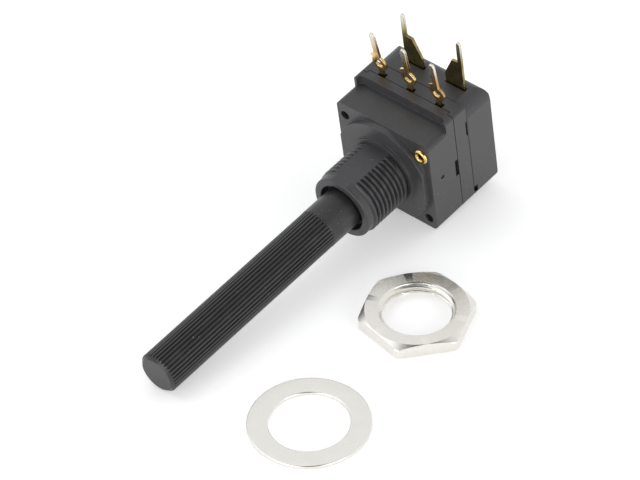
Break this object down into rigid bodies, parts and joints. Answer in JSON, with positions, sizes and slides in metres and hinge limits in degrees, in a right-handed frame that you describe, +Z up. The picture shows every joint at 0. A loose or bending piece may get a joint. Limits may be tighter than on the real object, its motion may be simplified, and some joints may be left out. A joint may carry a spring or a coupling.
{
  "type": "rotary encoder",
  "caption": "Panel-mount rotary encoder with a long serrated shaft, threaded bushing, push switch and solder terminals, lying beside its hex nut and flat washer.",
  "frame": {"origin": "middle of the footprint on the table", "axes": "+Z up; +Y from the shaft tip towards the switch cover; +X towards the nut and washer"},
  "size_m": [0.0354, 0.06, 0.0265],
  "materials": {
    "housing_plastic": "charcoal glass-filled moulding, semi-matte",
    "shaft_plastic": "near-black moulding, satin",
    "inner_plastic": "natural acetal",
    "terminal_brass": "stamped brass, tinned at the pin",
    "blade_brass": "dull stamped brass",
    "rivet_brass": "rolled brass",
    "contact_brass": "plated contact strip",
    "spring_metal": "spring temper strip",
    "nickel_plate": "bright nickel plate over steel"
  },
  "bodies": {
    "housing": {"front_housing": "housing_plastic", "contact_wafer": "housing_plastic", "switch_cover": "housing_plastic", "rivet_upper": "rivet_brass", "rivet_lower": "rivet_brass", "detent_spring": "spring_metal", "terminal_a": "terminal_brass", "terminal_common": "terminal_brass", "terminal_b": "terminal_brass", "wiper_a": "spring_metal", "wiper_common": "spring_metal", "wiper_b": "spring_metal", "switch_terminal_left": "blade_brass", "switch_terminal_right": "blade_brass", "snap_dome": "spring_metal", "rim_contact": "contact_brass", "centre_contact": "contact_brass"},
    "rotor": {"rotor": "inner_plastic", "code_wheel": "contact_brass"},
    "shaft": {"shaft": "shaft_plastic", "retaining_ring": "spring_metal"},
    "plunger": {"plunger": "inner_plastic"},
    "nut": {"hex_nut": "nickel_plate"},
    "washer": {"flat_washer": "nickel_plate"}
  },
  "joints": [
    {"name": "shaft_turn", "type": "hinge", "parent": "housing", "child": "rotor", "pos_m": [-0.00962, 0.02098, 0.00807], "axis": [0, -0.9949, -0.1012], "continuous": true},
    {"name": "shaft_push", "type": "slide", "parent": "rotor", "child": "shaft", "axis": [0, 0.9949, 0.1012], "range_m": [0, 0.0005], "stiffness_N_per_m": 4000, "springref_m": -0.0005},
    {"name": "plunger_push", "type": "slide", "parent": "housing", "child": "plunger", "axis": [0, 0.9949, 0.1012], "range_m": [0, 0.0005], "deforming": ["snap_dome"]},
    {"name": "nut_lift", "type": "slide", "parent": "housing", "child": "nut", "axis": [0, 0, 1], "range_m": [0, 0.02]},
    {"name": "washer_lift", "type": "slide", "parent": "housing", "child": "washer", "axis": [0, 0, 1], "range_m": [0, 0.02]}
  ],
  "couplings": [
    {"joint": "plunger_push", "follows": "shaft_push", "ratio": 1}
  ]
}
